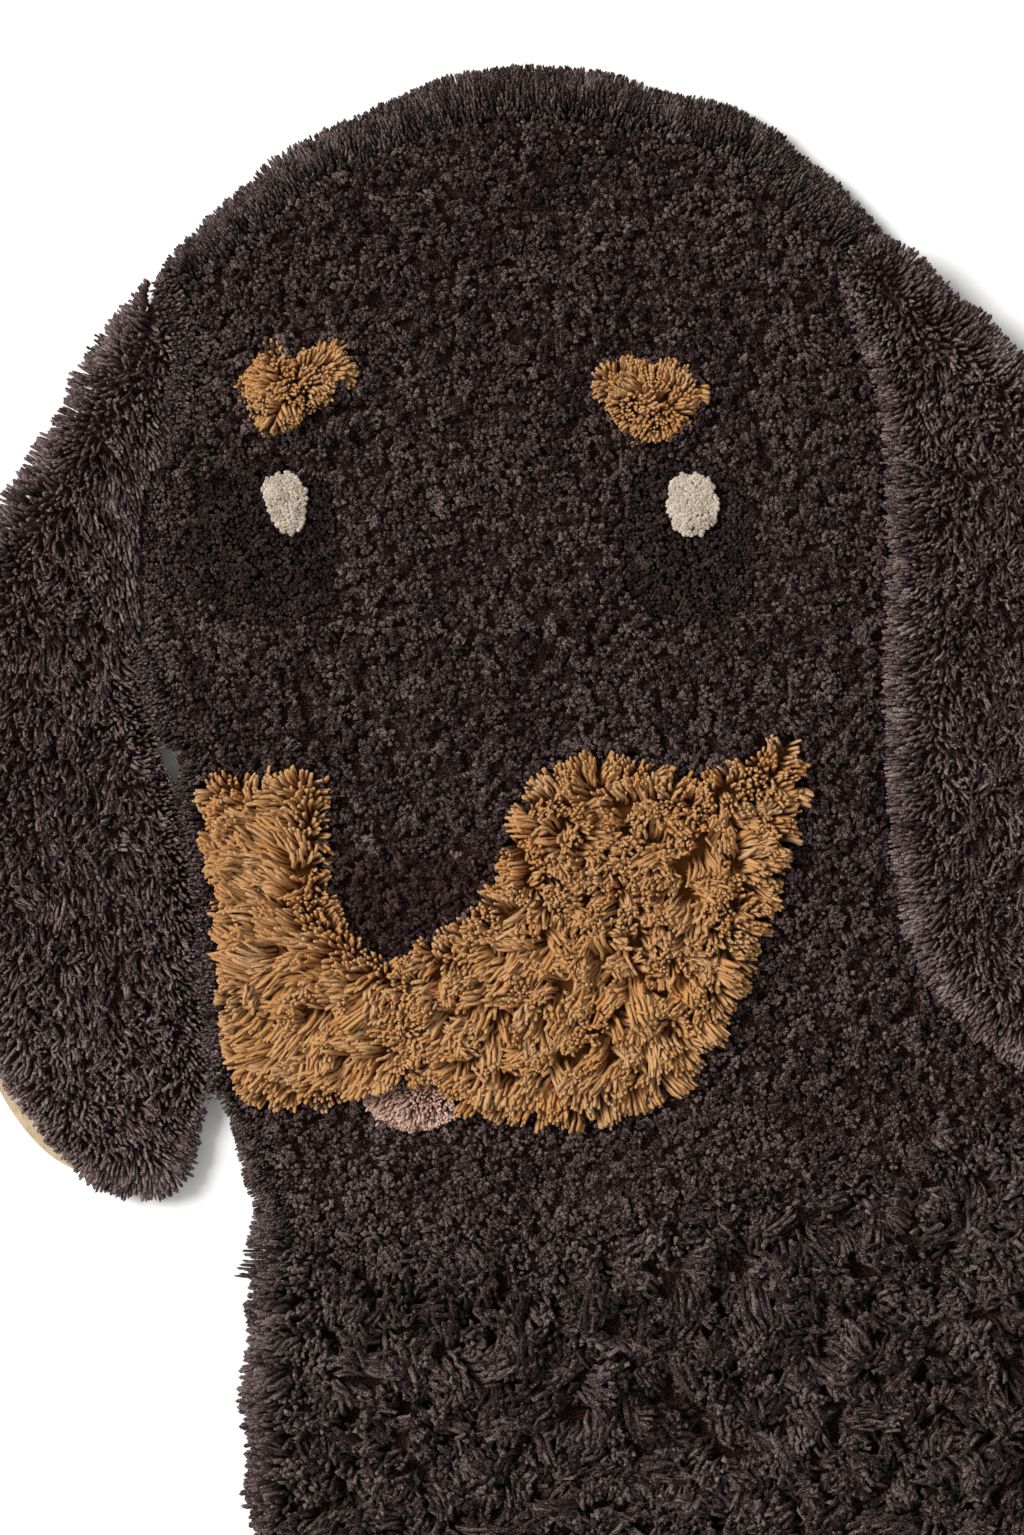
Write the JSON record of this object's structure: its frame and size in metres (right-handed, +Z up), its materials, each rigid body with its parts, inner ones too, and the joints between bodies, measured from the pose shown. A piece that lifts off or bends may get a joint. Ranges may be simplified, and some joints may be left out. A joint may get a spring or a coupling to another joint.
{
  "type": "animal shaped kids rug",
  "caption": "Tufted cotton floor rug in the shape of a dog, with a sheared head, shaggy body, loose ears, tan jowls and brows, and sunken eyes.",
  "frame": {"origin": "on the floor under the middle of the whole rug's outline", "axes": "+Y from the body towards the crown of the head, +X to the right seen from above, +Z up out of the pile"},
  "size_m": [0.6216, 1.022, 0.0295],
  "materials": {
    "dark_pile": "cut cotton pile, charcoal brown with grey flecks",
    "ear_pile": "cut cotton pile, charcoal brown with paler streaks",
    "eye_pile": "short sheared cotton pile, near black brown",
    "cream_pile": "short cotton pile, cream",
    "tan_pile": "long loose cotton yarn, tan",
    "pink_pile": "short dense cotton pile, dusty pink",
    "canvas": "plain natural canvas"
  },
  "bodies": {
    "root": {"main_panel": "dark_pile", "ear_left": "ear_pile", "ear_left_backing": "canvas", "ear_right": "ear_pile", "eye_left": "eye_pile", "eye_right": "eye_pile", "glint_left": "cream_pile", "glint_right": "cream_pile", "brow_left": "tan_pile", "brow_right": "tan_pile", "jowl_left": "tan_pile", "jowl_right": "tan_pile", "tongue": "pink_pile"}
  },
  "joints": []
}
